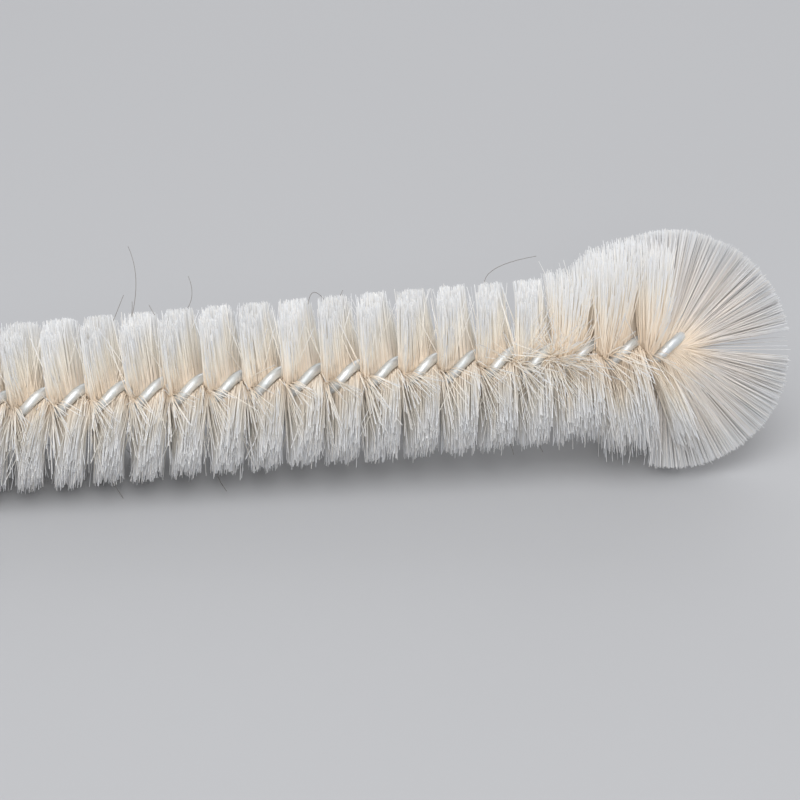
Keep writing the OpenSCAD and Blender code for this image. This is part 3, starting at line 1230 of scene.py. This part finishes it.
def fan_lines(layout, wire, bristle, side, rng):
    """Lines of one half of the fan.

    A bristle leaves the grip beside the fold, runs straight in the fan's plane to
    the rim at its angle, and keeps its layer, which opens out towards the rim. It
    bows a little in its middle.
    """
    angle, layer = fan_angles(bristle, side, rng)
    count = len(angle)
    up = layout.up * side
    turned = smooth(angle / (math.pi / 2))
    root_along = wire.fold_run + (ROOT_AHEAD - ROOT_BACK * turned) * MM
    root_up = rng.uniform(-ROOT_HALF, ROOT_HALF, count) * (1 - ROOT_CLOSE * turned) * MM
    grip = (wire.gap - bristle.thickness) / 2
    base = (root_along[:, None] * AHEAD + root_up[:, None] * up
            + (layer * grip)[:, None] * layout.out)
    reach = bristle.fan_r * (1 + FAN_RAGGED * rng.standard_normal(count))
    rim = reach[:, None] * (np.cos(angle)[:, None] * AHEAD + np.sin(angle)[:, None] * up)
    thick = layer * (RIM_HALF + RIM_GROWTH * turned) + RIM_LOOSE * rng.standard_normal(count)
    rim = rim + wire.fold_run * AHEAD + (thick * MM)[:, None] * layout.out
    bow = rng.standard_normal((count, 3)) * bristle.curl * FAN_BOW
    share = RING_AT[None, :, None]
    return base[:, None] + share * (rim - base)[:, None] + hump(share) * bow[:, None]


class TUBE_BRUSH_OT_fan(bpy.types.Operator):
    """Make the two halves of the round fan at the tip"""

    bl_idname = "tube_brush.fan"
    bl_label = "Fan"

    def execute(self, context):
        wire, bristle, layout = settings()
        material = fan_bristle_material(bristle)
        for side, node in ((1, "fan_upper"), (-1, "fan_lower")):
            rng = draws(bristle, FAN_DRAWS + side)
            line = fan_lines(layout, wire, bristle, side, rng)
            thick = thicknesses(bristle, len(line), rng)
            piece = make_bristles(f"bristles_{node}", layout, line, RING_AT, thick, rng,
                                  material, layout.out)
            keep(piece, "fan_bristle", node)
        return {"FINISHED"}


# Stray hairs: where each leaves the bristles (millimetres behind the last front
# crossing), how high it starts above the axis, then the way along and up to its bend
# and from there to its end.
STRAYS = (
    (64.9, 9.5, 0.9, 4.6, -0.6, 4.0),
    (67.2, 9.3, 0.8, 1.6, 0.7, 1.4),
    (65.1, 9.3, 0.3, 1.0, 0.1, 1.1),
    (62.1, 9.5, -0.3, 0.6, -0.3, 0.7),
    (58.8, 9.4, 1.3, 2.0, -0.2, 2.6),
    (43.4, 9.3, 0.8, 1.4, 1.3, -1.1),
    (39.8, 9.4, 0.4, 0.6, 0.4, 0.7),
    (21.4, 9.4, 1.3, 2.3, 5.4, 1.2),
    (56.3, -9.6, 0.2, -1.4, 0.8, -1.6),
    (69.6, -9.6, 0.9, -1.3, 0.8, -1.5),
    (20.4, -9.4, 0.4, -0.9, 0.2, -1.0),
    (16.2, -9.3, -0.2, -1.0, 0.3, -1.0),
)
STRAY_RINGS = 12
# How far towards the front or the back one may start, in millimetres, and how thick
# it is in shares of a bristle.
STRAY_DEPTH = 1.5
STRAY_THICK = 0.75


def stray_lines(layout, rng):
    """Lines of the stray hairs: each a smooth curve drawn by its start, bend and end."""
    hairs = np.array(STRAYS) * MM
    start = -hairs[:, :1] * AHEAD + hairs[:, 1:2] * layout.up
    depth = rng.uniform(-STRAY_DEPTH, STRAY_DEPTH, (len(hairs), 1)) * MM
    start = start + depth * layout.out
    bend = start + hairs[:, 2:3] * AHEAD + hairs[:, 3:4] * layout.up
    finish = bend + hairs[:, 4:5] * AHEAD + hairs[:, 5:6] * layout.up
    # The bend's handle lies as far beyond the bend as a smooth curve needs to touch it.
    handle = 2 * bend - (start + finish) / 2
    share = np.linspace(0, 1, STRAY_RINGS)[None, :, None]
    return ((1 - share) ** 2 * start[:, None] + 2 * share * (1 - share) * handle[:, None]
            + share ** 2 * finish[:, None])


class TUBE_BRUSH_OT_strays(bpy.types.Operator):
    """Make the few stray hairs that stand out of the tufts"""

    bl_idname = "tube_brush.strays"
    bl_label = "Stray hairs"

    def execute(self, context):
        _, bristle, layout = settings()
        rng = draws(bristle, STRAY_DRAWS)
        line = stray_lines(layout, rng)
        thick = np.full(len(line), STRAY_THICK * bristle.thickness)
        share = np.linspace(0, 1, STRAY_RINGS)
        piece = make_bristles("stray_hairs", layout, line, share, thick, rng,
                              stray_material(bristle))
        keep(piece, "head_bristle")
        return {"FINISHED"}


class TUBE_BRUSH_OT_stage(bpy.types.Operator):
    """Make the floor, the lamps, the sky and the camera"""

    bl_idname = "tube_brush.stage"
    bl_label = "Stage"

    def execute(self, context):
        stage = context.scene.brush_stage
        _, _, layout = settings()
        make_floor(stage)
        make_light(layout)
        make_camera(stage, layout)
        context.scene.view_settings.view_transform = "Standard"
        return {"FINISHED"}


# The floor: radii of its rings in metres, and its sides.
FLOOR_RINGS = (0.3, 2.4, 6.0)
FLOOR_SIDES = 48

# Place along the brush that the lamps are turned to. Then each lamp's name, its place
# from there and its size, all in metres, and its power in watts.
LAMPS_AIM = -0.03
LAMPS = (
    ("lamp_above", (-0.1, -0.4, 0.8), 0.8, 5.7),
    ("lamp_front", (-0.086, -0.818, 0.475), 0.25, 1.5),
    ("lamp_behind", (0.15, 0.85, 0.45), 0.9, 3.0),
)


def make_floor(stage):
    """A wide level disc under the brush: rings round a middle face."""
    angle = np.linspace(0, 2 * math.pi, FLOOR_SIDES, endpoint=False)
    points = np.concatenate([ring * across(angle)[:, [1, 2, 0]] for ring in FLOOR_RINGS])
    faces = [np.arange(FLOOR_SIDES)[None], tube_faces(len(FLOOR_RINGS), FLOOR_SIDES)[:, ::-1]]
    make_mesh("floor", points, faces, {}, floor_material(stage))


def make_lamp(name, place, target, size, power):
    """A square soft lamp at a place, turned to its target."""
    data = bpy.data.lights.new(name, "AREA")
    data.shape = "SQUARE"
    data.size = size
    data.energy = power
    lamp = add_object(name, data)
    lamp.location = place
    lamp.rotation_euler = (target - place).to_track_quat("-Z", "Y").to_euler()


# Colour of the sky, and its strength as a light and as it is seen.
SKY = (0.96, 0.97, 1.0, 1)
SKY_LIGHT = 0.36
SKY_SEEN = 0.6


def make_light(layout):
    """A large soft lamp above, a small weak one from the front and a weak one behind.

    The sky lights the object at its own level. Seen directly, in metal or through
    glass it is paler, which adds no light.
    """
    middle = Vector(layout.to_world(LAMPS_AIM * AHEAD))
    for name, offset, size, power in LAMPS:
        make_lamp(name, middle + Vector(offset), middle, size, power)
    world = bpy.data.worlds.new("sky")
    bpy.context.scene.world = world
    world.use_nodes = True
    tree = world.node_tree
    back = tree.nodes["Background"]
    feed(tree, SKY, back.inputs["Color"])
    rays = tree.nodes.new("ShaderNodeLightPath").outputs
    seen = math_node(tree, "ADD", rays["Is Camera Ray"], rays["Is Transmission Ray"])
    seen = math_node(tree, "ADD", seen, rays["Is Glossy Ray"], clamp=True)
    strength = math_node(tree, "MULTIPLY_ADD", seen, SKY_SEEN - SKY_LIGHT, SKY_LIGHT)
    feed(tree, strength, back.inputs["Strength"])


# Width of the camera's sensor in millimetres, and the nearest that it sees in metres.
SENSOR = 36
NEAREST = 0.01


def make_camera(stage, layout):
    """The camera looks at the head from the front, from above and a little from behind.

    Its lens shows the wanted width at its distance from the brush's axis.
    """
    swing, rise = stage.swing, stage.elevation
    back = Vector((-math.sin(swing) * math.cos(rise), -math.cos(swing) * math.cos(rise),
                   math.sin(rise)))
    turned = back.to_track_quat("Z", "Y") @ Quaternion((0, 0, 1), stage.roll)
    drop = turned @ Vector((0, -stage.aim_drop, 0))
    target = Vector(layout.to_world(-stage.aim_along * AHEAD)) + drop
    data = bpy.data.cameras.new("camera")
    data.sensor_width = SENSOR
    data.lens = SENSOR * stage.distance / stage.width
    data.clip_start = NEAREST
    camera = add_object("camera", data)
    camera.location = target + back * stage.distance
    camera.rotation_mode = "QUATERNION"
    camera.rotation_quaternion = turned
    bpy.context.scene.camera = camera


class TUBE_BRUSH_PT_panel(bpy.types.Panel):
    """Lists the brush's operators"""

    bl_idname = "TUBE_BRUSH_PT_panel"
    bl_label = "Test Tube Brush"
    bl_space_type = "VIEW_3D"
    bl_region_type = "UI"
    bl_category = "Brush"

    def draw(self, context):
        for operator in OPERATORS:
            self.layout.operator(operator.bl_idname)


OPERATORS = (TUBE_BRUSH_OT_wire, TUBE_BRUSH_OT_head, TUBE_BRUSH_OT_shoulder,
             TUBE_BRUSH_OT_fan, TUBE_BRUSH_OT_strays, TUBE_BRUSH_OT_stage)
CLASSES = (BrushWireSettings, BrushBristleSettings, BrushStageSettings, *OPERATORS,
           TUBE_BRUSH_PT_panel)


def register():
    """Registers the classes and hangs the settings on the scene."""
    for item in CLASSES:
        bpy.utils.register_class(item)
    bpy.types.Scene.brush_wire = PointerProperty(type=BrushWireSettings)
    bpy.types.Scene.brush_bristle = PointerProperty(type=BrushBristleSettings)
    bpy.types.Scene.brush_stage = PointerProperty(type=BrushStageSettings)


def unregister():
    """Takes the settings and the classes away again."""
    del bpy.types.Scene.brush_wire
    del bpy.types.Scene.brush_bristle
    del bpy.types.Scene.brush_stage
    for item in reversed(CLASSES):
        bpy.utils.unregister_class(item)


def main():
    register()
    bpy.ops.tube_brush.wire()
    bpy.ops.tube_brush.head()
    bpy.ops.tube_brush.shoulder()
    bpy.ops.tube_brush.fan()
    bpy.ops.tube_brush.strays()
    bpy.ops.tube_brush.stage()


if __name__ == "__main__":
    main()
